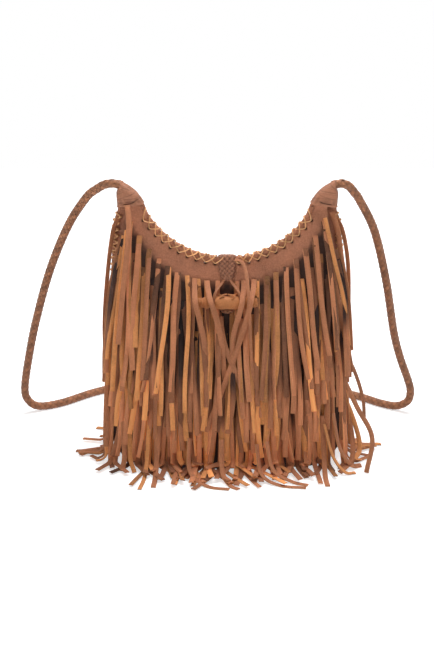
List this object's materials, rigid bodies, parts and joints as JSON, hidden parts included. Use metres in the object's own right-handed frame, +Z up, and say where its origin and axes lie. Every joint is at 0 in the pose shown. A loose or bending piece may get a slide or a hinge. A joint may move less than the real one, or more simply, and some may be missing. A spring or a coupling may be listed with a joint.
{
  "type": "fringed shoulder bag",
  "caption": "Soft leather shoulder bag with a crescent laced mouth, hanging fringe rows, a toggle closure and a round braided strap.",
  "frame": {"origin": "centre of the flat base, on the surface that the bag stands on", "axes": "+Z up from the base to the ear caps, +X to the viewer's right, the toggle side faces -Y"},
  "size_m": [0.4694, 0.3263, 0.3138],
  "materials": {
    "brown_leather": "brown nubuck leather with fine grain and soft creases",
    "fringe_leather": "thin brown strips, fine grain outside, orange tan suede inside, pale cut edges",
    "tan_leather": "lighter tan leather, rolled and whipped",
    "lace": "pale waxed lace",
    "lining_cloth": "plain woven black cloth",
    "strap_leather": "round braid of brown leather strands"
  },
  "bodies": {
    "root": {"front_panel": "brown_leather", "back_panel": "brown_leather", "gusset": "brown_leather", "left_ear_cap": "brown_leather", "right_ear_cap": "brown_leather", "braided_tab": "brown_leather", "tab_strand_left": "brown_leather", "tab_strand_right": "brown_leather", "toggle_core": "brown_leather", "toggle_loop": "brown_leather", "toggle_barrel": "tan_leather", "toggle_wrap_left": "tan_leather", "toggle_wrap_right": "tan_leather", "loose_thong": "tan_leather", "front_fringe_row_1": "fringe_leather", "front_fringe_row_2": "fringe_leather", "front_fringe_row_3": "fringe_leather", "front_fringe_row_4": "fringe_leather", "front_fringe_row_5": "fringe_leather", "front_fringe_row_6": "fringe_leather", "back_fringe_row_1": "fringe_leather", "back_fringe_row_2": "fringe_leather", "back_fringe_row_3": "fringe_leather", "back_fringe_row_4": "fringe_leather", "back_fringe_row_5": "fringe_leather", "back_fringe_row_6": "fringe_leather", "left_side_strips_1": "fringe_leather", "left_side_strips_2": "fringe_leather", "right_side_strips_1": "fringe_leather", "right_side_strips_2": "fringe_leather", "mouth_lace_front": "lace", "mouth_lace_back": "lace", "lining": "lining_cloth", "shoulder_strap": "strap_leather"}
  },
  "joints": []
}
